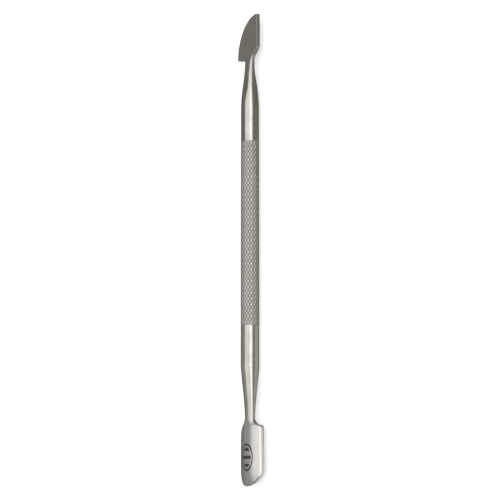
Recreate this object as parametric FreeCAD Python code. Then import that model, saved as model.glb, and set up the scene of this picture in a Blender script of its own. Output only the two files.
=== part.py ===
import FreeCAD, Part
import math
import os

# Double-ended manicure tool in stainless steel, 130 mm long.
# It lies along X: the pusher's tip points to -X and the nail knife to +X.
# +Z is the back, the pusher's convex side. The knife's straight spine faces -Y.
# All shapes are built around the tool's long axis and lifted at the end,
# so that the knurl's lowest line is at Z = 0.

# Driving dimensions, in millimetres. "AT" is a distance along the tool from the pusher's tip.
OVERALL = 130.0
SHANK_D = 5.0

# Handle tube
PUSHER_SEAM_AT = 31.5
KNURL_START_AT = 42.6
KNURL_END_AT = 93.8
KNIFE_SEAM_AT = 101.7
KNURL_PROUD = 0.05      # crests stand this far out of the plain tube
KNURL_RUN_OUT = 0.6     # the crests fade over this length at each end
BORE_D = 3.6

# Tangs of the two ends, pressed into the tube
TANG_LENGTH = 9.0
TANG_CHAMFER = 0.4
VENT_DEPTH = 0.25       # flat along the tang that lets the air out

# Both necks blend from a round section to one with this squareness (2 is an ellipse)
NECK_SQUARENESS = 3.2
FLARE_LENGTH = 2.7
FLARE_Y = 4.4
FLARE_Z = 2.4

# Pusher end
PUSHER_NECK_AT = 18.2
PUSHER_NECK_Y = 3.2
PUSHER_NECK_Z = 2.3
PUSHER_TAPER_BOW = 0.65
PUSHER_WIDTH = 9.0
PUSHER_BACK_R = 6.1     # convex back across the blade
PUSHER_CROWN = 1.25     # the back's height over the tool's axis
PUSHER_WALL = 1.0       # thickness along the middle of the blade, next to the neck
TIP_ROUND = 4.6         # length of the rounded end
TIP_ROUND_Y = 4.455
TIP_DROP_LENGTH = 5.0   # the back curves down over this length to the tip
TIP_DROP_R = 25.0
TROUGH_R = 7.3
TROUGH_RUN_OUT = 5.2    # neck to the place where the grinding wheel lifts off
TROUGH_RISE = 0.25      # the trough's floor comes nearer to the back by this much at the tip

# The pusher's shoulders: (distance from the neck, distance from the axis)
SLOPE_ROOT = (1.7, 2.05)
SLOPE_START = (2.6, 2.75)
SLOPE_END = (4.0, 3.8)
SLOPE_BLEND = (5.1, 4.3)
SLOPE_TOP = (6.6, 4.43)
SIDE_MIDDLE = 9.5
SQUARE_SIDE = (2.9, 4.3)
SQUARE_CORNER = (2.42, 4.185)
SQUARE_TOP = (2.2, 3.915)
SQUARE_FOOT = (2.05, 3.1)
SQUARE_ROOT = (1.4, 2.1)

# Nail knife end
KNIFE_NECK_AT = 116.2
KNIFE_NECK_Y = 3.5
KNIFE_NECK_Z = 1.25
KNIFE_TAPER_Y = 1.2     # how late the taper narrows, and how late it flattens
KNIFE_TAPER_Z = 1.4
HEEL_AT = 117.9
HEEL_Y = 4.5
HEEL_R = 0.9
SPINE_Y = -3.5
BLADE_THICKNESS = 1.2
BEVEL_WIDTH = 0.9
EDGE_LAND = 0.2

# The knife's spine shoulder: (distance from the heel towards the tip, distance from the axis)
SPINE_TOP = (3.0, 3.5)
SPINE_CORNER = (2.35, 3.32)
SPINE_FOOT = (1.85, 2.88)
SPINE_ROOT = (0.95, 2.18)
SPINE_NECK = (-0.5, 1.8)

AXIS_HEIGHT = SHANK_D / 2 + KNURL_PROUD
CLEAR = 30.0            # larger than any section of the tool, for cutting shapes


def from_tip(distance):
    """X of a place given by its distance from the pusher's tip."""
    return distance - OVERALL / 2


def vector(x, y, z=0.0):
    return FreeCAD.Vector(x, y, z)


def line(a, b):
    return Part.makeLine(vector(*a), vector(*b))


def arc(a, middle, b):
    return Part.Arc(vector(*a), vector(*middle), vector(*b)).toShape()


def rod(diameter, x_start, x_end):
    """Round bar on the tool's axis."""
    return Part.makeCylinder(diameter / 2, x_end - x_start, vector(x_start, 0, 0), vector(1, 0, 0))


def cone(diameter_start, diameter_end, x_start, x_end):
    """Round bar on the tool's axis that changes diameter."""
    return Part.makeCone(diameter_start / 2, diameter_end / 2, x_end - x_start,
                         vector(x_start, 0, 0), vector(1, 0, 0))


def half_space(x_start, x_end, z_start, z_end):
    """Block right across the tool between two places along it and two heights."""
    return Part.makeBox(x_end - x_start, CLEAR, z_end - z_start, vector(x_start, -CLEAR / 2, z_start))


def oval(x, half_y, half_z, squareness=2.0, points=32):
    """Closed outline across the tool: an ellipse at squareness 2, and boxier above it."""
    ring = []
    for i in range(points):
        angle = 2 * math.pi * i / points
        c = math.cos(angle)
        s = math.sin(angle)
        y = half_y * math.copysign(abs(c) ** (2 / squareness), c)
        z = half_z * math.copysign(abs(s) ** (2 / squareness), s)
        ring.append(vector(x, y, z))
    curve = Part.BSplineCurve()
    curve.interpolate(ring, PeriodicFlag=True)
    return Part.Wire(curve.toShape())


def taper(x_start, x_end, end_y, end_z, eased, steps=12):
    """Shank that runs from the round bar down to an oval neck."""
    rings = []
    for i in range(steps + 1):
        t = i / steps
        share_y, share_z = eased(t)
        half_y = SHANK_D / 2 + (end_y / 2 - SHANK_D / 2) * share_y
        half_z = SHANK_D / 2 + (end_z / 2 - SHANK_D / 2) * share_z
        squareness = 2.0 + (NECK_SQUARENESS - 2.0) * t ** 3
        rings.append(oval(x_start + (x_end - x_start) * t, half_y, half_z, squareness))
    return Part.makeLoft(rings, True, False)


def flare(x_neck, direction, half_y, half_z):
    """Room that opens from the oval neck, which rounds the root of a blade to match it."""
    x_wide = x_neck + direction * FLARE_LENGTH
    wide = oval(x_wide, half_y + FLARE_Y, half_z + FLARE_Z, NECK_SQUARENESS)
    throat = Part.makeLoft([oval(x_neck, half_y, half_z, NECK_SQUARENESS), wide], True, False)
    x_low = min(x_wide, x_wide + direction * CLEAR)
    return throat.fuse(half_space(x_low, x_low + CLEAR, -CLEAR / 2, CLEAR / 2))


def tang(x_shoulder, direction):
    """Press-fit tang with a lead chamfer and a flat that lets the air out of the bore."""
    x_end = x_shoulder + direction * TANG_LENGTH
    x_low = min(x_shoulder, x_end)
    bar = rod(BORE_D, x_low, x_low + TANG_LENGTH)
    tip_rim = [e for e in bar.Edges if isinstance(e.Curve, Part.Circle)
               and abs(e.Curve.Center.x - x_end) < 0.01]
    bar = bar.makeChamfer(TANG_CHAMFER, tip_rim)
    return bar.cut(half_space(x_low, x_low + TANG_LENGTH, BORE_D / 2 - VENT_DEPTH, BORE_D))


def handle_tube():
    """Hollow handle: a knurled grip band between two plain lands."""
    tube_start = from_tip(PUSHER_SEAM_AT)
    tube_end = from_tip(KNIFE_SEAM_AT)
    band_start = from_tip(KNURL_START_AT)
    band_end = from_tip(KNURL_END_AT)
    crest_d = SHANK_D + 2 * KNURL_PROUD
    tube = rod(SHANK_D, tube_start, tube_end)
    crests = rod(crest_d, band_start + KNURL_RUN_OUT, band_end - KNURL_RUN_OUT)
    fade_in = cone(SHANK_D, crest_d, band_start, band_start + KNURL_RUN_OUT)
    fade_out = cone(crest_d, SHANK_D, band_end - KNURL_RUN_OUT, band_end)
    bore = rod(BORE_D, tube_start - 1, tube_end + 1)
    return tube.fuse([crests, fade_in, fade_out]).cut(bore).removeSplitter()


def pusher_outline():
    """The pusher blade seen from above: square shoulder at -Y, sloping shoulder at +Y."""
    half = PUSHER_WIDTH / 2
    neck = PUSHER_NECK_Y / 2
    root = from_tip(PUSHER_NECK_AT)
    round_at = from_tip(TIP_ROUND)

    def sloped(place):
        return (root - place[0], place[1])

    def squared(place):
        return (root - place[0], -place[1])

    edges = [
        line((root, -neck), (root, neck)),
        arc((root, neck), sloped(SLOPE_ROOT), sloped(SLOPE_START)),
        line(sloped(SLOPE_START), sloped(SLOPE_END)),
        arc(sloped(SLOPE_END), sloped(SLOPE_BLEND), sloped(SLOPE_TOP)),
        arc(sloped(SLOPE_TOP), (root - SIDE_MIDDLE, half), (round_at, TIP_ROUND_Y)),
        arc((round_at, TIP_ROUND_Y), (from_tip(0), 0), (round_at, -TIP_ROUND_Y)),
        arc((round_at, -TIP_ROUND_Y), (root - SIDE_MIDDLE, -half), squared(SQUARE_SIDE)),
        arc(squared(SQUARE_SIDE), squared(SQUARE_CORNER), squared(SQUARE_TOP)),
        line(squared(SQUARE_TOP), squared(SQUARE_FOOT)),
        arc(squared(SQUARE_FOOT), squared(SQUARE_ROOT), (root, -neck)),
    ]
    return Part.Wire(edges)


def pusher_blade():
    """Gouge-shaped blade: round back, hollow front, thin rim and a back that drops to the tip."""
    outline = Part.Face(pusher_outline())
    outline.translate(vector(0, 0, -CLEAR / 2))
    prism = outline.extrude(vector(0, 0, CLEAR))
    x_low = from_tip(-CLEAR / 2)
    x_high = from_tip(CLEAR)
    back = rod(2 * PUSHER_BACK_R, x_low, x_high)
    back.translate(vector(0, 0, PUSHER_CROWN - PUSHER_BACK_R))
    front_cut = half_space(x_low, x_high, -CLEAR, -PUSHER_NECK_Z / 2)
    blade = prism.common(back).cut(front_cut)
    drop_from = from_tip(TIP_DROP_LENGTH)
    drop_roll = Part.makeCylinder(TIP_DROP_R, CLEAR,
                                  vector(drop_from, -CLEAR / 2, PUSHER_CROWN - TIP_DROP_R),
                                  vector(0, 1, 0))
    drop = half_space(x_low, drop_from, -CLEAR / 2, CLEAR / 2).cut(drop_roll)
    return blade.cut(drop)


def trough():
    """Grinding-wheel shape that hollows the front and runs out before the neck."""
    floor = PUSHER_CROWN - PUSHER_WALL
    wheel_x = from_tip(PUSHER_NECK_AT - TROUGH_RUN_OUT)
    hollow = rod(2 * TROUGH_R, from_tip(-CLEAR / 2), wheel_x)
    hollow.translate(vector(0, 0, floor - TROUGH_R))
    wheel = hollow.fuse(Part.makeSphere(TROUGH_R, vector(wheel_x, 0, floor - TROUGH_R)))
    tilt = math.degrees(math.atan(TROUGH_RISE / (wheel_x - from_tip(0))))
    wheel.rotate(vector(wheel_x, 0, floor), vector(0, 1, 0), tilt)
    return wheel


def pusher_end():
    """Pusher blade, neck, taper and tang, forged and ground from one bar."""
    seam = from_tip(PUSHER_SEAM_AT)
    neck = from_tip(PUSHER_NECK_AT)

    def eased(t):
        share = t + PUSHER_TAPER_BOW * t * t * (1 - t)
        return share, share

    shank = taper(seam, neck, PUSHER_NECK_Y, PUSHER_NECK_Z, eased)
    room = flare(neck, -1, PUSHER_NECK_Y / 2, PUSHER_NECK_Z / 2)
    blade = pusher_blade().common(room).cut(trough())
    return blade.fuse(shank).fuse(tang(seam, 1)).removeSplitter()


def cutting_curve(edge_points=9):
    """Quarter ellipse from the heel to the tip of the knife."""
    heel = from_tip(HEEL_AT)
    length = from_tip(OVERALL) - heel
    points = []
    for i in range(edge_points):
        angle = math.pi / 2 * i / (edge_points - 1)
        points.append(vector(heel + length * math.sin(angle),
                             SPINE_Y + (HEEL_Y - SPINE_Y) * math.cos(angle)))
    curve = Part.BSplineCurve()
    curve.interpolate(points)
    return curve


def knife_outline(cutting):
    """The knife seen from above: straight spine, curved cutting edge, square heel."""
    neck = KNIFE_NECK_Y / 2
    root = from_tip(KNIFE_NECK_AT)
    heel = from_tip(HEEL_AT)
    tip = from_tip(OVERALL)
    soft = HEEL_R * (1 - math.sqrt(0.5))

    def on_spine(place):
        return (heel + place[0], -place[1])

    edges = [
        line((root, -neck), (root, neck)),
        line((root, neck), (heel - HEEL_R, neck)),
        arc((heel - HEEL_R, neck), (heel - soft, neck + soft), (heel, neck + HEEL_R)),
        line((heel, neck + HEEL_R), (heel, HEEL_Y)),
        cutting.toShape(),
        line((tip, SPINE_Y), on_spine(SPINE_TOP)),
        arc(on_spine(SPINE_TOP), on_spine(SPINE_CORNER), on_spine(SPINE_FOOT)),
        arc(on_spine(SPINE_FOOT), on_spine(SPINE_ROOT), on_spine(SPINE_NECK)),
        line(on_spine(SPINE_NECK), (root, -neck)),
    ]
    return Part.Wire(edges)


def knife_blade():
    """Flat blade, ground on the front face only to a narrow cutting edge."""
    cutting = cutting_curve()
    face = Part.Face(knife_outline(cutting))
    face.translate(vector(0, 0, -BLADE_THICKNESS / 2))
    plate = face.extrude(vector(0, 0, BLADE_THICKNESS))
    middle = cutting.value(0.5 * (cutting.FirstParameter + cutting.LastParameter))
    on_front = Part.Vertex(vector(middle.x, middle.y, -BLADE_THICKNESS / 2))
    front_edge = [e for e in plate.Edges if e.distToShape(on_front)[0] < 0.01]
    return plate.makeChamfer(BEVEL_WIDTH, BLADE_THICKNESS - EDGE_LAND, front_edge)


def knife_end():
    """Nail knife, neck, taper and tang, forged and ground from one bar."""
    seam = from_tip(KNIFE_SEAM_AT)
    neck = from_tip(KNIFE_NECK_AT)

    def eased(t):
        share_y = (1 - math.cos(math.pi * t ** KNIFE_TAPER_Y)) / 2
        share_z = (1 - math.cos(math.pi * t ** KNIFE_TAPER_Z)) / 2
        return share_y, share_z

    shank = taper(seam, neck, KNIFE_NECK_Y, KNIFE_NECK_Z, eased)
    room = flare(neck, 1, KNIFE_NECK_Y / 2, KNIFE_NECK_Z / 2)
    blade = knife_blade().common(room)
    return blade.fuse(shank).fuse(tang(seam, -1)).removeSplitter()


def save(name, shape):
    """Writes one piece, lifted so that the tool lies on Z = 0."""
    placed = shape.copy()
    placed.translate(vector(0, 0, AXIS_HEIGHT))
    solids = placed.Solids
    if len(solids) != 1 or not solids[0].isValid():
        raise RuntimeError(name + " is not one valid solid")
    solids[0].exportStep("parts/" + name + ".step")
    box = solids[0].optimalBoundingBox(False, False)
    print(name, "volume %.1f" % solids[0].Volume,
          "x %.2f..%.2f y %.2f..%.2f z %.2f..%.2f" % (box.XMin, box.XMax, box.YMin, box.YMax,
                                                     box.ZMin, box.ZMax))


os.makedirs("parts", exist_ok=True)
save("handle_tube", handle_tube())
save("pusher_end", pusher_end())
save("knife_end", knife_end())
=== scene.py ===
import math

import bpy
from mathutils import Matrix, Vector


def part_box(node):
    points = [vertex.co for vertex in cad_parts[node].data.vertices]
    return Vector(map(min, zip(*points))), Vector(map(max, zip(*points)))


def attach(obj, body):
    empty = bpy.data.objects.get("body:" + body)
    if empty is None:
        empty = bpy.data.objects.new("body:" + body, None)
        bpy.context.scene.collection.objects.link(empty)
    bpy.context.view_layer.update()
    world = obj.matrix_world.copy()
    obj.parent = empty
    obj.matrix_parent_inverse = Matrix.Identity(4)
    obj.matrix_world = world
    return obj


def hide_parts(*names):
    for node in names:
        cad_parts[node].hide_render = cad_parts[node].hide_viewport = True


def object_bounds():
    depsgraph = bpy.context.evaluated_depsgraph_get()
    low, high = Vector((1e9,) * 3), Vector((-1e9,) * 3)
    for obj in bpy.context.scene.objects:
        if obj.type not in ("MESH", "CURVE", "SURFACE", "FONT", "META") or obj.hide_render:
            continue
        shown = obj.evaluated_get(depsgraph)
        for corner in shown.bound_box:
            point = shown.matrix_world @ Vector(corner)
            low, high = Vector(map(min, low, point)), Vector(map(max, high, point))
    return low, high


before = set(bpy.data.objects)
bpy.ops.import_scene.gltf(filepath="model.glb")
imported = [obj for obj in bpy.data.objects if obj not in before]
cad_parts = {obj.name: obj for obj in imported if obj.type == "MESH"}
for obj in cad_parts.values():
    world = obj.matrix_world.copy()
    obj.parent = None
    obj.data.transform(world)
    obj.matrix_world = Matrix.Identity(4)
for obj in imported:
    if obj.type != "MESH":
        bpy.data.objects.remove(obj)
cad_low, cad_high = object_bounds()
MM = 0.001


# Handle tube. A 5 mm stainless tube, bored through. Two 30 degree wheels press the diamond
# knurl into its grip, 17 grooves of each hand, and both ends stay plain, where the tangs
# of the two working ends are pressed into the bore.
tube_low, tube_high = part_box("handle_tube")
AXIS_Z = (tube_low.z + tube_high.z) / 2
CREST_R = (tube_high.z - tube_low.z) / 2
SHANK_R = 2.5 * MM
BORE_R = 1.8 * MM
GROOVE_R = CREST_R - 0.115 * MM
GROOVE_FLOOR = 0.04 * MM
GROOVES_ROUND = 17
KNURL_PITCH = 1.6 * MM
KNURL_ROWS = 32
KNURL_LOW = cad_low.x + 42.6 * MM
KNURL_HIGH = KNURL_LOW + KNURL_ROWS * KNURL_PITCH
RIM_CUTS = 5
RIM_EASE = 0.06 * MM
SEAM_EASE = 0.015 * MM
TINY = 0.01 * MM
FLANK = (0.12 * MM, 0.085 * MM)     # width and rise
SHOULDER = (0.05 * MM, 0.02 * MM)


def start_clean():
    """Leaves edit mode and selects nothing."""
    if bpy.context.object and bpy.context.object.mode != "OBJECT":
        bpy.ops.object.mode_set(mode="OBJECT")
    bpy.ops.object.select_all(action="DESELECT")


def settle(piece, name):
    """Names a piece and puts its place into its mesh."""
    bpy.ops.object.mode_set(mode="OBJECT")
    bpy.ops.object.select_all(action="DESELECT")
    piece.select_set(True)
    bpy.context.view_layer.objects.active = piece
    bpy.ops.object.transform_apply(location=True, rotation=True, scale=True)
    piece.name = name
    piece.data.name = name


def pick_edges(piece, wanted):
    """Goes back to edit mode with only the wanted edges selected."""
    bpy.ops.object.mode_set(mode="EDIT")
    bpy.ops.mesh.select_mode(type="EDGE")
    bpy.ops.mesh.select_all(action="DESELECT")
    bpy.ops.object.mode_set(mode="OBJECT")
    verts = piece.data.vertices
    for edge in piece.data.edges:
        a, b = (verts[i].co for i in edge.vertices)
        edge.select = bool(wanted(a, b))
    bpy.ops.object.mode_set(mode="EDIT")


def draw_out(start, end):
    """Extrudes the selected ring from one oval section to the next: each is x, half_y, half_z."""
    step = (end[0] - start[0], 0, 0)
    bpy.ops.mesh.extrude_region_move(TRANSFORM_OT_translate={"value": step})
    bpy.ops.transform.resize(value=(1, end[1] / start[1], end[2] / start[2]),
                             center_override=(0, 0, AXIS_Z))


def is_grid_line(a, b):
    """A line of the knurl's starting grid, but not one of its two rims."""
    across = abs(a.x - b.x) < TINY
    lengthwise = abs(abs(a.x - b.x) - KNURL_PITCH) < TINY
    at_rim = across and min(a.x - KNURL_LOW, KNURL_HIGH - a.x) < TINY
    return (across or lengthwise) and not at_rim


start_clean()
bpy.ops.mesh.primitive_cylinder_add(
    vertices=GROOVES_ROUND, radius=GROOVE_R, depth=KNURL_HIGH - KNURL_LOW,
    end_fill_type="NOTHING", rotation=(0, math.pi / 2, 0),
    location=((KNURL_LOW + KNURL_HIGH) / 2, 0, AXIS_Z))
handle = bpy.context.object
settle(handle, "knurled_handle_tube")

# The grid's squares are poked, and the old grid lines dissolved, which leaves the diamonds.
pick_edges(handle, lambda a, b: abs(a.x - b.x) > KNURL_PITCH)
bpy.ops.mesh.subdivide(number_cuts=KNURL_ROWS - 1)
bpy.ops.mesh.select_all(action="SELECT")
bpy.ops.mesh.poke()
bpy.ops.mesh.select_all(action="DESELECT")
bpy.ops.object.mode_set(mode="OBJECT")
chord_r = GROOVE_R * math.cos(math.pi / GROOVES_ROUND)
for vertex in handle.data.vertices:
    vertex.select = math.hypot(vertex.co.y, vertex.co.z - AXIS_Z) < (chord_r + GROOVE_R) / 2
bpy.ops.object.mode_set(mode="EDIT")
bpy.ops.mesh.select_mode(type="VERT")
bpy.ops.transform.shrink_fatten(value=GROOVE_R - chord_r)
pick_edges(handle, is_grid_line)
bpy.ops.mesh.dissolve_edges(use_verts=False)

# Each diamond gets its share of the groove's floor, a flank and an eased shoulder, and a small
# flat stays on top.
bpy.ops.mesh.select_mode(type="FACE")
bpy.ops.mesh.select_all(action="SELECT")
for thickness, rise in ((GROOVE_FLOOR, 0.0), FLANK, SHOULDER):
    bpy.ops.mesh.inset(thickness=thickness, depth=rise, use_individual=True)

# The grooves run out at both rims, which are made round, drawn out to the ends of the plain
# shank and turned in to the bore.
for rim_x, side, end_x in ((KNURL_LOW, -1, tube_low.x), (KNURL_HIGH, 1, tube_high.x)):
    pick_edges(handle, lambda a, b: abs(a.x - rim_x) < TINY and abs(b.x - rim_x) < TINY)
    bpy.ops.mesh.subdivide(number_cuts=RIM_CUTS)
    bpy.ops.object.mode_set(mode="OBJECT")
    for vertex in handle.data.vertices:
        if abs(vertex.co.x - rim_x) < GROOVE_FLOOR + TINY:
            spoke = Vector((0, vertex.co.y, vertex.co.z - AXIS_Z)).normalized() * SHANK_R
            vertex.co = Vector((vertex.co.x, 0, AXIS_Z)) + spoke
    bpy.ops.object.mode_set(mode="EDIT")
    profile = (
        (rim_x, SHANK_R),
        (end_x - side * SEAM_EASE, SHANK_R),
        (end_x, SHANK_R - SEAM_EASE),
        (end_x, BORE_R + RIM_EASE),
        (end_x - side * RIM_EASE, BORE_R),
    )
    for (x, r), (next_x, next_r) in zip(profile, profile[1:]):
        draw_out((x, r, r), (next_x, next_r, next_r))
bpy.ops.mesh.select_all(action="DESELECT")
bpy.ops.mesh.select_mode(type="EDGE")
bpy.ops.mesh.select_non_manifold(extend=False)
bpy.ops.mesh.bridge_edge_loops()
bpy.ops.mesh.select_all(action="SELECT")
bpy.ops.mesh.normals_make_consistent(inside=False)
settle(handle, "knurled_handle_tube")
bpy.ops.object.shade_smooth_by_angle(angle=math.radians(22))

STEEL_DULL = (0.655, 0.640, 0.588, 1.0)
STEEL_CLEAN = (0.735, 0.722, 0.670, 1.0)
LINE_SHADE = (0.80, 0.79, 0.77, 1.0)
SMUDGE_SCALES = (260, 420, 420)


def noise(material, scales, detail):
    """Noise on the tool's own coordinates, with a scale for each direction."""
    nodes = material.node_tree.nodes
    links = material.node_tree.links
    place = nodes.new("ShaderNodeTexCoord")
    stretch = nodes.new("ShaderNodeMapping")
    stretch.inputs["Scale"].default_value = scales
    grain = nodes.new("ShaderNodeTexNoise")
    grain.inputs["Scale"].default_value = 1.0
    grain.inputs["Detail"].default_value = detail
    links.new(place.outputs["Object"], stretch.inputs["Vector"])
    links.new(stretch.outputs["Vector"], grain.inputs["Vector"])
    return grain.outputs["Fac"]


def ranged(material, value, low, high):
    """Maps a value from 0..1, or from the given low and high pairs, to another range."""
    node = material.node_tree.nodes.new("ShaderNodeMapRange")
    node.inputs["From Min"].default_value = low[0]
    node.inputs["From Max"].default_value = high[0]
    node.inputs["To Min"].default_value = low[1]
    node.inputs["To Max"].default_value = high[1]
    material.node_tree.links.new(value, node.inputs["Value"])
    return node.outputs["Result"]


def mixed(material, kind, share, first, second):
    """Mixes two colours, each a socket or a plain colour, by a socket or a plain share."""
    node = material.node_tree.nodes.new("ShaderNodeMixRGB")
    node.blend_type = kind
    for name, value in (("Fac", share), ("Color1", first), ("Color2", second)):
        if isinstance(value, bpy.types.NodeSocket):
            material.node_tree.links.new(value, node.inputs[name])
        else:
            node.inputs[name].default_value = value
    return node.outputs["Color"]


def reckoned(material, kind, first, second):
    """One step of arithmetic on two values, each a socket or a plain number."""
    node = material.node_tree.nodes.new("ShaderNodeMath")
    node.operation = kind
    for i, value in enumerate((first, second)):
        if isinstance(value, bpy.types.NodeSocket):
            material.node_tree.links.new(value, node.inputs[i])
        else:
            node.inputs[i].default_value = value
    return node.outputs["Value"]


def distance(material, first, second):
    """Distance from the zero of two values that are square to each other."""
    squares = [reckoned(material, "MULTIPLY", value, value) for value in (first, second)]
    return reckoned(material, "SQRT", reckoned(material, "ADD", *squares), 0)


def coordinates(material):
    """X, Y and Z of the tool's own frame, as three sockets."""
    nodes = material.node_tree.nodes
    place = nodes.new("ShaderNodeTexCoord")
    split = nodes.new("ShaderNodeSeparateXYZ")
    material.node_tree.links.new(place.outputs["Object"], split.inputs["Vector"])
    return split.outputs["X"], split.outputs["Y"], split.outputs["Z"]


def steel(name, line_scales, line_depth):
    """Stainless steel with finishing lines, soft smudges and a slightly uneven polish.

    Gives the material with its colour and its roughness, which the caller may change further.
    """
    material = bpy.data.materials.new(name)
    material.use_nodes = True
    shader = material.node_tree.nodes["Principled BSDF"]
    shader.inputs["Metallic"].default_value = 1.0
    lines = noise(material, line_scales, 3.0)
    smudges = noise(material, SMUDGE_SCALES, 4.0)
    colour = mixed(material, "MIX", ranged(material, smudges, (0.35, 0.0), (0.65, 1.0)),
                   STEEL_DULL, STEEL_CLEAN)
    colour = mixed(material, "MULTIPLY", ranged(material, lines, (0.3, 0.20), (0.7, 0.0)),
                   colour, LINE_SHADE)
    bump = material.node_tree.nodes.new("ShaderNodeBump")
    bump.inputs["Strength"].default_value = 1.0
    bump.inputs["Distance"].default_value = line_depth
    material.node_tree.links.new(lines, bump.inputs["Height"])
    material.node_tree.links.new(bump.outputs["Normal"], shader.inputs["Normal"])
    polish = ranged(material, lines, (0.3, 0.93), (0.7, 1.07))
    return material, colour, polish


def finish_steel(material, colour, roughness):
    """Connects the colour and roughness to the shader."""
    shader = material.node_tree.nodes["Principled BSDF"]
    material.node_tree.links.new(colour, shader.inputs["Base Color"])
    material.node_tree.links.new(roughness, shader.inputs["Roughness"])


# The tube is fine-turned and tumbled. The knurl is duller than the plain ends, its groove floors and
# the bore are darkened as painted shade, and its crests are lightened as a painted highlight.
TUBE_ROUGHNESS = 0.25
KNURL_ROUGHNESS = 0.47
# Colour of the painted shade that darkens the groove floors and the inside of the bore.
GROOVE_PAINTED_SHADE = (0.33, 0.32, 0.29, 1.0)
# Colour of the painted highlight on the knurl's crests.
CREST_PAINTED_HIGHLIGHT = (0.93, 0.915, 0.87, 1.0)
TURNING_DEPTH = 0.00000008
tube_steel, colour, polish = steel("tumbled_steel", (9000, 2500, 2500), TURNING_DEPTH)
x, y, z = coordinates(tube_steel)
up = reckoned(tube_steel, "SUBTRACT", z, AXIS_Z)
radius = distance(tube_steel, y, up)
# Painted shade: by radius, the colour goes dark on the grooves' floors and inside the bore.
out_of_groove_shade = ranged(tube_steel, radius, (GROOVE_R, 0.0), (GROOVE_R + 0.06 * MM, 1.0))
colour = mixed(tube_steel, "MIX", out_of_groove_shade, GROOVE_PAINTED_SHADE, colour)
# Painted highlight: the knurl's crests, which stand above the plain shank's radius, are painted
# lighter.
crest_highlight_share = ranged(tube_steel, radius, (SHANK_R + 0.005 * MM, 0.0), (SHANK_R + 0.03 * MM, 1.0))
colour = mixed(tube_steel, "MIX", crest_highlight_share, colour, CREST_PAINTED_HIGHLIGHT)
from_middle = reckoned(tube_steel, "SUBTRACT", x, (KNURL_LOW + KNURL_HIGH) / 2)
from_middle = reckoned(tube_steel, "ABSOLUTE", from_middle, 0)
half_knurl = (KNURL_HIGH - KNURL_LOW) / 2
dulled = ranged(tube_steel, from_middle,
                (half_knurl - 0.3 * MM, KNURL_ROUGHNESS), (half_knurl, TUBE_ROUGHNESS))
finish_steel(tube_steel, colour, reckoned(tube_steel, "MULTIPLY", polish, dulled))
handle.data.materials.append(tube_steel)
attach(handle, "root")
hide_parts("handle_tube")


# Pusher end. One stainless forging: a tang for the tube, a taper, a slim neck and a
# gouge-shaped blade, ground round on its back and hollow on its front, with a thin rim.
pusher_low, pusher_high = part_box("pusher_end")
RING_POINTS = 64
PUSHER_TIP = pusher_low.x
PUSHER_SEAM = tube_low.x
PUSHER_NECK = PUSHER_TIP + 18.2 * MM
NECK_Y = 1.6 * MM
NECK_Z = 1.15 * MM
BLADE_Y = pusher_high.y
SHOULDER_Y = 4.3 * MM
SQUARE_LENGTH = 2.9 * MM    # neck to the end of the square shoulder
SLOPE_LENGTH = 6.0 * MM     # neck to the end of the sloping one
END_LENGTH = 4.6 * MM
BACK_R = 6.1 * MM
CROWN = 1.25 * MM
WALL = 1.0 * MM
TROUGH_R = 7.3 * MM
TROUGH_END = PUSHER_NECK - 5.2 * MM
TROUGH_RISE = 0.25 * MM
TIP_DROP = 0.5 * MM
TIP_DROP_LENGTH = 5.0 * MM
TIP_LEAN = 0.80 * MM        # the tip is ground a little off centre
BACK_EASE = (0.42 * MM, 0.14 * MM)      # worn rounding along the rim, across and in height
FRONT_EASE = (0.10 * MM, 0.08 * MM)
MOST_ACROSS = 0.3           # an eased corner takes no more of a section's width
MOST_HEIGHT = 0.4           # and of its thickness
TANG_LENGTH = 9.0 * MM
TANG_FULL = 8.6 * MM        # the rest is chamfered
TANG_TIP_R = 1.4 * MM


def smooth(t):
    """Goes from 0 to 1 with a level start and end."""
    t = min(max(t, 0.0), 1.0)
    return t * t * (3 - 2 * t)


def between(a, b, share):
    """A value that is a given share of the way from a to b."""
    return a + (b - a) * share


def oval_points(low, high, half_z):
    """Points round an oval section from low to high, starting at +Y and going over the back."""
    turns = [2 * math.pi * k / RING_POINTS for k in range(RING_POINTS)]
    return [(between(low, high, (1 + math.cos(a)) / 2), half_z * math.sin(a)) for a in turns]


def plate_points(low, high, back, front, back_ease, front_ease, bevel=0.0):
    """As many points round a flat section: +Y wall, back, -Y wall, front, and eased corners."""
    row = RING_POINTS // 2 - 9

    def corner(y, z, inward, upward, ease, angles):
        wide = min(ease[0], (high - low) * MOST_ACROSS)
        tall = min(ease[1], (back(y) - front(y)) * MOST_HEIGHT)
        places = []
        for angle in angles:
            c, s = math.cos(math.radians(angle)), math.sin(math.radians(angle))
            places.append((y + inward * wide * (1 - c), z + upward * tall * (1 - s)))
        return places

    def along(start, end, surface):
        ys = [between(start, end, (i + 0.5) / row) for i in range(row)]
        return [(y, surface(y)) for y in ys]

    back_wide = min(back_ease[0], (high - low) * MOST_ACROSS)
    front_wide = min(front_ease[0], (high - low) * MOST_ACROSS)
    points = [(high, between(front(high), back(high), share)) for share in (0.5, 0.65)]
    points += corner(high, back(high), -1, -1, back_ease, (10, 45, 80))
    points += along(high - back_wide, low + back_wide, back)
    points += corner(low, back(low), 1, -1, back_ease, (80, 45, 10))
    points += [(low, between(front(low), back(low), share)) for share in (0.6, 0.5, 0.4)]
    points += corner(low, front(low), 1, 1, front_ease, (10, 45, 80))
    if bevel:
        points += along(low + front_wide, high - bevel, front)
        points += [(y, front(y)) for y in (high - bevel * 0.98, high - bevel * 0.5, high)]
    else:
        points += along(low + front_wide, high - front_wide, front)
        points += corner(high, front(high), -1, 1, front_ease, (80, 45, 10))
    points.append((high, between(front(high), back(high), 0.35)))
    return points


def pusher_back(x, y):
    """The convex back, which curves down to the tip."""
    drop = TIP_DROP * max(0.0, 1 - (x - PUSHER_TIP) / TIP_DROP_LENGTH) ** 2
    return CROWN - (BACK_R - math.sqrt(BACK_R ** 2 - y * y)) - drop


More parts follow.
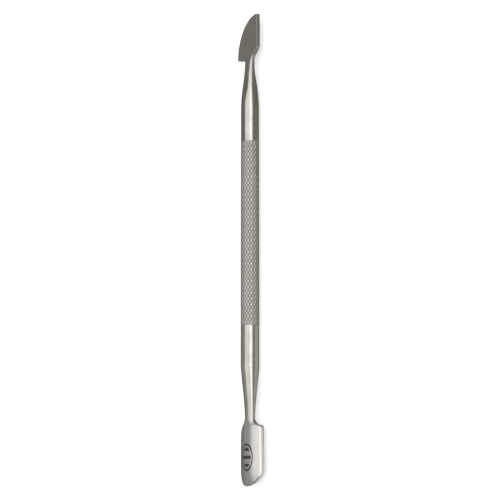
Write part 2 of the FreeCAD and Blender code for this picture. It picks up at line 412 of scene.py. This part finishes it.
def pusher_front(x, y):
    """The hollow front, with the run-out of the grinding wheel before the neck."""
    rise = TROUGH_RISE * min((TROUGH_END - x) / (TROUGH_END - PUSHER_TIP), 1.0)
    past = max(0.0, x - TROUGH_END)
    hollow = CROWN - WALL - TROUGH_R + rise
    hollow += math.sqrt(max(TROUGH_R ** 2 - y * y - past * past, 0.0))
    blend = 0.06 * MM
    return (hollow - NECK_Z + math.sqrt((hollow + NECK_Z) ** 2 + blend ** 2)) / 2


def square_side(t):
    """The square shoulder: distance from the neck and half-width, as t goes from 0 to 1."""
    root_length, root_y, corner = 2.1 * MM, 3.5 * MM, 0.8 * MM
    if t < 0.6:
        a = math.pi / 2 * t / 0.6
        return root_length * math.sin(a), between(NECK_Y, root_y, 1 - math.cos(a))
    a = math.pi / 2 * (t - 0.6) / 0.4
    return SQUARE_LENGTH - corner * math.cos(a), root_y + corner * math.sin(a)


def slope_side(t):
    """The sloping shoulder, measured the same way."""
    return SLOPE_LENGTH * t, between(NECK_Y, SHOULDER_Y + 0.1 * MM, smooth(t))


def pusher_ring(x_low, low, x_high, high, squareness=1.0):
    """One section of the blade, slanted where its two sides aren't equally far along."""
    def slanted(y):
        return between(x_low, x_high, (y - low) / (high - low))

    plate = plate_points(low, high, lambda y: pusher_back(slanted(y), y),
                         lambda y: pusher_front(slanted(y), y), BACK_EASE, FRONT_EASE)
    ring = []
    for (y, z), (oval_y, oval_z) in zip(plate, oval_points(low, high, NECK_Z)):
        y = between(oval_y, y, squareness)
        ring.append((slanted(y), y, between(oval_z, z, squareness)))
    return ring


def forging(name, ovals, rings):
    """Draws a bar out through oval sections, then lays one extruded ring on each of the others."""
    start_clean()
    bpy.ops.mesh.primitive_circle_add(vertices=RING_POINTS, radius=1.0, fill_type="NGON",
                                      rotation=(0, math.pi / 2, 0), location=(ovals[0][0], 0, AXIS_Z))
    piece = bpy.context.object
    settle(piece, name)
    bpy.ops.object.mode_set(mode="EDIT")
    bpy.ops.mesh.select_mode(type="EDGE")
    bpy.ops.mesh.select_all(action="SELECT")
    bpy.ops.mesh.delete(type="ONLY_FACE")
    bpy.ops.mesh.select_all(action="SELECT")
    bpy.ops.transform.resize(value=(1, ovals[0][1], ovals[0][2]), center_override=(0, 0, AXIS_Z))
    bpy.ops.mesh.edge_face_add()
    bpy.ops.mesh.select_mode(type="EDGE")
    for start, end in zip(ovals, ovals[1:]):
        draw_out(start, end)
    neck_x, neck_y, neck_z = ovals[-1]
    onward = math.copysign(MM, neck_x - ovals[0][0])
    for _ in rings:
        bpy.ops.mesh.extrude_region_move(TRANSFORM_OT_translate={"value": (onward, 0, 0)})
    bpy.ops.mesh.edge_face_add()
    bpy.ops.object.mode_set(mode="OBJECT")
    for vertex in piece.data.vertices:
        past = round((vertex.co.x - neck_x) / onward)
        if past >= 1 and (vertex.co.x - neck_x) * onward > 0:
            angle = math.atan2((vertex.co.z - AXIS_Z) / neck_z, vertex.co.y / neck_y)
            turn = round(angle / (2 * math.pi) * RING_POINTS) % RING_POINTS
            x, y, z = rings[past - 1][turn]
            vertex.co = (x, y, AXIS_Z + z)
    bpy.ops.object.mode_set(mode="EDIT")
    bpy.ops.mesh.select_all(action="SELECT")
    bpy.ops.mesh.normals_make_consistent(inside=False)
    settle(piece, name)
    return piece


def tang_ovals(seam, outward):
    """Chamfered tang in the bore, then the eased rim that meets the tube."""
    return [
        (seam - outward * TANG_LENGTH, TANG_TIP_R, TANG_TIP_R),
        (seam - outward * TANG_FULL, BORE_R, BORE_R),
        (seam, BORE_R, BORE_R),
        (seam, SHANK_R - SEAM_EASE, SHANK_R - SEAM_EASE),
        (seam + outward * SEAM_EASE, SHANK_R, SHANK_R),
    ]


pusher_ovals = tang_ovals(PUSHER_SEAM, -1)
TAPER_STEPS = 22
for i in range(1, TAPER_STEPS + 1):
    t = i / TAPER_STEPS
    share = t + 0.65 * t * t * (1 - t)
    pusher_ovals.append((between(PUSHER_SEAM, PUSHER_NECK, t), between(SHANK_R, NECK_Y, share),
                         between(SHANK_R, NECK_Z, share)))

pusher_rings = []
SHOULDER_STEPS = 20
for i in range(1, SHOULDER_STEPS + 1):
    t = i / SHOULDER_STEPS
    square_x, square_y = square_side(t)
    slope_x, slope_y = slope_side(t)
    pusher_rings.append(pusher_ring(PUSHER_NECK - square_x, -square_y,
                                    PUSHER_NECK - slope_x, slope_y, smooth(t / 0.7)))
SIDE_STEPS = 14
for i in range(1, SIDE_STEPS + 1):
    t = i / SIDE_STEPS
    bow = math.sin(t * math.pi / 2)
    pusher_rings.append(pusher_ring(
        between(PUSHER_NECK - SQUARE_LENGTH, PUSHER_TIP + END_LENGTH, t),
        -between(SHOULDER_Y, BLADE_Y, bow),
        between(PUSHER_NECK - SLOPE_LENGTH, PUSHER_TIP + END_LENGTH, t),
        between(SHOULDER_Y + 0.1 * MM, BLADE_Y, bow)))
END_STEPS = 36
for i in range(1, END_STEPS + 1):
    angle = math.radians(86) * i / END_STEPS
    x = PUSHER_TIP + END_LENGTH * (1 - math.sin(angle))
    half = BLADE_Y * math.cos(angle)
    lean = TIP_LEAN * (1 - math.cos(angle))
    pusher_rings.append(pusher_ring(x, lean - half, x, lean + half))
pusher = forging("pusher_end_forging", pusher_ovals, pusher_rings)
bpy.ops.object.shade_smooth_by_angle(angle=math.radians(32))

# The blade is ground along its length, coarser than the tumbled shank. A plain etched
# oval with three bars marks the middle of its back.
PUSHER_GRIND_DEPTH = 0.00000015
PUSHER_ROUGHNESS = 0.36
GROUND_BARE = (0.80, 0.79, 0.745, 1.0)
pusher_steel, colour, polish = steel("pusher_ground_steel", (700, 8000, 8000), PUSHER_GRIND_DEPTH)
x, y, z = coordinates(pusher_steel)
coarse = ranged(pusher_steel, x,
                (PUSHER_NECK, PUSHER_ROUGHNESS), (PUSHER_NECK + 8 * MM, TUBE_ROUGHNESS))
roughness = reckoned(pusher_steel, "MULTIPLY", polish, coarse)
bare = ranged(pusher_steel, x, (PUSHER_NECK - 3 * MM, 1.0), (PUSHER_NECK + 3 * MM, 0.0))
colour = mixed(pusher_steel, "MIX", bare, colour, GROUND_BARE)
MARK_X = PUSHER_TIP + 7.6 * MM
MARK_HALF_LENGTH = 3.7 * MM
MARK_HALF_WIDTH = 2.15 * MM
RING_AT = 0.92              # of the mark's own size, as are the next two
RING_HALF_WIDTH = 0.075
BARS_REACH = 0.70
BAR_TURNS = 11.0            # radians of a wave over half the mark, whose tops are the bars
BAR_CUT = 0.35
MARK_FROM_Z = AXIS_Z + 0.6 * MM
ETCH_COLOUR = (0.075, 0.068, 0.060, 1.0)
along = reckoned(pusher_steel, "SUBTRACT", x, MARK_X)
along = reckoned(pusher_steel, "DIVIDE", along, MARK_HALF_LENGTH)
across = reckoned(pusher_steel, "DIVIDE", y, MARK_HALF_WIDTH)
reach = distance(pusher_steel, along, across)
ring_off = reckoned(pusher_steel, "ABSOLUTE", reckoned(pusher_steel, "SUBTRACT", reach, RING_AT), 0)
ring_mark = reckoned(pusher_steel, "LESS_THAN", ring_off, RING_HALF_WIDTH)
wave = reckoned(pusher_steel, "COSINE", reckoned(pusher_steel, "MULTIPLY", along, BAR_TURNS), 0)
bars = reckoned(pusher_steel, "GREATER_THAN", wave, BAR_CUT)
inside = reckoned(pusher_steel, "LESS_THAN", reach, BARS_REACH)
mark = reckoned(pusher_steel, "MAXIMUM", ring_mark, reckoned(pusher_steel, "MULTIPLY", bars, inside))
on_back = reckoned(pusher_steel, "GREATER_THAN", z, MARK_FROM_Z)
wear = noise(pusher_steel, (2600, 2600, 2600), 2.0)
wear = ranged(pusher_steel, wear, (0.35, 0.72), (0.6, 0.95))
mark = reckoned(pusher_steel, "MULTIPLY", mark, on_back)
mark = reckoned(pusher_steel, "MULTIPLY", mark, wear)
colour = mixed(pusher_steel, "MIX", mark, colour, ETCH_COLOUR)
finish_steel(pusher_steel, colour, roughness)
pusher.data.materials.append(pusher_steel)
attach(pusher, "root")
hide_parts("pusher_end")


# Nail knife end. Another stainless forging with a tang for the tube. It has a straight spine,
# an elliptical cutting edge ground on the front face only, a square heel, and ground flats
# that run out into the taper.
knife_low, knife_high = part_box("knife_end")
KNIFE_TIP = knife_high.x
KNIFE_SEAM = tube_high.x
KNIFE_NECK = PUSHER_TIP + 116.2 * MM
HEEL_X = PUSHER_TIP + 117.9 * MM
HEEL_Y = knife_high.y
SPINE_Y = knife_low.y
KNIFE_NECK_Y = 1.52 * MM
FORGED_Z = 1.42 * MM        # half the neck's thickness before its flats are ground
BLADE_Z = 0.6 * MM
EDGE_LAND = 0.12 * MM
BEVEL_AT_HEEL = 0.85 * MM
BEVEL_AT_TIP = 0.30 * MM
HEEL_ROOT_X = 1.2 * MM      # hollow curve between the neck and the heel
HEEL_ROOT_Y = 1.7 * MM
SPINE_SHOULDER = 4.9 * MM   # neck to the end of the spine's shoulder
FLAT_EASE = (0.06 * MM, 0.06 * MM)
BACK_FLAT_END = KNIFE_NECK + 3.1 * MM
BACK_FLAT_LENGTH = 8.0 * MM
BACK_FLAT_SLOPE = 0.12
BACK_FLAT_EASE = 0.8 * MM
BACK_RUN_OUT_R = 42.0 * MM
FRONT_WHEEL_R = 11.0 * MM
FRONT_WHEEL_START = KNIFE_NECK - 0.2 * MM
FRONT_WHEEL_LEAN = 0.45


def knife_taper(t):
    """The forged taper's section for t from 0 at the seam to 1 at the neck."""
    share_y = (1 - math.cos(math.pi * t ** 1.2)) / 2
    share_z = (1 - math.cos(math.pi * t ** 1.4)) / 2
    return (between(KNIFE_SEAM, KNIFE_NECK, t), between(SHANK_R, KNIFE_NECK_Y, share_y),
            between(SHANK_R, FORGED_Z, share_z))


def ground_neck(x, y, z):
    """Height of a point of the neck once a long belt flat and a wheel have thinned it."""
    along = BACK_FLAT_END - x
    back = BLADE_Z + BACK_FLAT_SLOPE * (along + math.sqrt(along ** 2 + BACK_FLAT_EASE ** 2)) / 2
    back += max(0.0, along - BACK_FLAT_LENGTH) ** 2 / (2 * BACK_RUN_OUT_R)
    lean = FRONT_WHEEL_LEAN * y
    front = BLADE_Z + max(0.0, FRONT_WHEEL_START + lean - x) ** 2 / (2 * FRONT_WHEEL_R)
    blend = between(0.01 * MM, 0.26 * MM, smooth((x - KNIFE_SEAM - 0.5 * MM) / (6 * MM)))
    z = (z + back - math.sqrt((z - back) ** 2 + blend ** 2)) / 2
    return (z - front + math.sqrt((z + front) ** 2 + blend ** 2)) / 2


def cutting_side(t):
    """The heel's side of the blade root: distance from the neck and from the axis."""
    root = HEEL_X - KNIFE_NECK - HEEL_ROOT_X
    if t < 0.6:
        a = math.pi / 2 * t / 0.6
        return root + HEEL_ROOT_X * math.sin(a), KNIFE_NECK_Y + HEEL_ROOT_Y * (1 - math.cos(a))
    share = (t - 0.6) / 0.4
    slight = 0.02 * MM * share
    return root + HEEL_ROOT_X + slight, between(KNIFE_NECK_Y + HEEL_ROOT_Y, HEEL_Y, share)


def spine_side(t):
    """The spine's side of the blade root, measured the same way."""
    along = SPINE_SHOULDER * t
    return along, between(KNIFE_NECK_Y, -SPINE_Y, smooth((along - 1.2 * MM) / (3.4 * MM)))


def cutting_edge(x):
    """The elliptical edge's place across the blade."""
    t = min(max((x - HEEL_X) / (KNIFE_TIP - HEEL_X), 0.0), 1.0)
    return between(SPINE_Y, HEEL_Y, math.sqrt(1 - t * t))


def knife_ring(x_low, low, x_high, high, bevel, spine_square=1.0, heel_square=1.0):
    """One slanted section of the blade, from oval at 0 to square at 1 on each of its sides."""
    def slanted(y):
        return between(x_low, x_high, (y - low) / (high - low))

    def front(y):
        cut = min(max(1 - (high - y) / bevel, 0.0), 1.0) if bevel else 0.0
        return between(-BLADE_Z, BLADE_Z - EDGE_LAND, cut)

    plate = plate_points(low, high, lambda y: BLADE_Z, front, FLAT_EASE, FLAT_EASE, bevel)
    ring = []
    for (y, z), (oval_y, oval_z) in zip(plate, oval_points(low, high, FORGED_Z)):
        oval_z = ground_neck(slanted(oval_y), oval_y, oval_z)
        square = between(spine_square, heel_square, (oval_y - low) / (high - low))
        y = between(oval_y, y, square)
        ring.append((slanted(y), y, between(oval_z, z, square)))
    return ring


NECK_STEPS = 48
NECK_GROUND_FROM = 3
knife_ovals = tang_ovals(KNIFE_SEAM, 1)
for i in range(1, NECK_GROUND_FROM):
    knife_ovals.append(knife_taper(i / NECK_STEPS))
knife_rings = []
for i in range(NECK_GROUND_FROM, NECK_STEPS + 1):
    x, half_y, half_z = knife_taper(i / NECK_STEPS)
    knife_rings.append([(x, y, ground_neck(x, y, z)) for y, z in oval_points(-half_y, half_y, half_z)])
HEEL_STEPS = 24
for i in range(1, HEEL_STEPS + 1):
    t = i / HEEL_STEPS
    spine_x, spine_y = spine_side(t)
    heel_x, heel_y = cutting_side(t)
    bevel = BEVEL_AT_HEEL * smooth((t - 0.8) / 0.15)
    knife_rings.append(knife_ring(KNIFE_NECK + spine_x, -spine_y, KNIFE_NECK + heel_x, heel_y,
                                  bevel if bevel > TINY else 0.0, smooth(t / 0.85), smooth(t / 0.3)))
BLADE_STEPS = 34
for i in range(1, BLADE_STEPS + 1):
    t = i / BLADE_STEPS
    x_high = between(HEEL_X, KNIFE_TIP, math.sin(math.radians(87) * t))
    x_low = between(KNIFE_NECK + SPINE_SHOULDER, KNIFE_TIP, t ** 0.8)
    high = cutting_edge(x_high)
    width = between(BEVEL_AT_HEEL, BEVEL_AT_TIP, (x_high - HEEL_X) / (KNIFE_TIP - HEEL_X))
    knife_rings.append(knife_ring(min(x_low, x_high + (1 - t) * 5 * MM), SPINE_Y, x_high, high,
                                  min(width, (high - SPINE_Y) * 0.6)))
knife = forging("nail_knife_end_forging", knife_ovals, knife_rings)
bpy.ops.object.shade_smooth_by_angle(angle=math.radians(20))

# Its flat faces are ground lengthwise on a belt, which leaves them duller than the shank.
BELT_DEPTH = 0.0000002
KNIFE_ROUGHNESS = 0.40
knife_steel, colour, polish = steel("knife_ground_steel", (500, 6000, 6000), BELT_DEPTH)
x, y, z = coordinates(knife_steel)
coarse = ranged(knife_steel, x,
                (KNIFE_NECK - 7 * MM, TUBE_ROUGHNESS), (KNIFE_NECK, KNIFE_ROUGHNESS))
finish_steel(knife_steel, colour, reckoned(knife_steel, "MULTIPLY", polish, coarse))
knife.data.materials.append(knife_steel)
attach(knife, "root")
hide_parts("knife_end")


# Studio. A matt white table that glows faintly and isn't reflected, a long softbox beside the
# camera, a wide one over the tool, a dim one low on each side, and a fill for the table that
# the steel doesn't reflect.
TABLE_GLOW = 0.56
start_clean()
bpy.ops.mesh.primitive_plane_add(size=6.0, location=(0, 0, 0))
table = bpy.context.object
settle(table, "studio_table")
white = bpy.data.materials.new("matt_white")
white.use_nodes = True
surface = white.node_tree.nodes["Principled BSDF"]
surface.inputs["Base Color"].default_value = (0.88, 0.88, 0.88, 1)
surface.inputs["Roughness"].default_value = 0.9
surface.inputs["Emission Color"].default_value = (1, 1, 1, 1)
surface.inputs["Emission Strength"].default_value = TABLE_GLOW
table.data.materials.append(white)
table.visible_glossy = False

VIEW_TURN = math.radians(49)    # how far the camera leans from straight above, round the tool
VIEW_TILT = math.radians(9.7)   # and towards the pusher end
VIEW_DISTANCE = 0.36
AIM = Vector((-0.0015, 0, AXIS_Z))


def round_axis(angle):
    """Direction square to the tool, at an angle from the camera's side towards the table."""
    turn = VIEW_TURN + angle
    return Vector((0, -math.sin(turn), math.cos(turn)))


def softbox(name, angle, width, length, away, strength, slide=0.0, skew=0.0, reflected=True):
    """A rectangular lamp aimed at the tool, slid along it and turned by an angle in degrees."""
    light = bpy.data.lights.new(name, "AREA")
    light.shape = "RECTANGLE"
    light.size = length
    light.size_y = width
    light.energy = strength * math.pi * width * length
    lamp = bpy.data.objects.new(name, light)
    bpy.context.scene.collection.objects.link(lamp)
    out = round_axis(math.radians(angle))
    lamp.location = AIM + out * away + Vector((slide, 0, 0))
    turn = math.radians(skew)
    along = Vector((math.cos(turn), 0, 0)) + out.cross(Vector((math.sin(turn), 0, 0)))
    lamp.rotation_mode = "QUATERNION"
    lamp.rotation_quaternion = Matrix((along, out.cross(along), out)).transposed().to_quaternion()
    lamp.visible_glossy = reflected


softbox("front_softbox", 11, width=0.36, length=0.9, away=0.55, strength=1.33)
softbox("overhead_softbox", -35, width=0.52, length=0.9, away=0.50, strength=0.83,
        slide=0.24, skew=-12)
softbox("low_left_softbox", -100, width=0.40, length=0.36, away=0.50, strength=0.14, slide=-0.10)
softbox("low_right_softbox", 92, width=0.66, length=0.50, away=0.50, strength=0.27, slide=-0.12)
softbox("table_fill", -49, width=2.4, length=2.4, away=1.5, strength=0.40, reflected=False)

world = bpy.data.worlds.new("studio")
bpy.context.scene.world = world
world.use_nodes = True
world.node_tree.nodes["Background"].inputs["Color"].default_value = (0.165, 0.16, 0.15, 1)

camera = bpy.data.objects.new("camera", bpy.data.cameras.new("camera"))
bpy.context.scene.collection.objects.link(camera)
facing = round_axis(0.0)
out = facing * math.cos(VIEW_TILT) - Vector((math.sin(VIEW_TILT), 0, 0))
up = Vector((math.cos(VIEW_TILT), 0, 0)) + facing * math.sin(VIEW_TILT)
camera.location = AIM + out * VIEW_DISTANCE
camera.rotation_mode = "QUATERNION"
camera.rotation_quaternion = Matrix((up.cross(out), up, out)).transposed().to_quaternion()
camera.data.lens = 95
camera.data.clip_start = 0.01
bpy.context.scene.camera = camera
bpy.context.scene.view_settings.view_transform = "Standard"
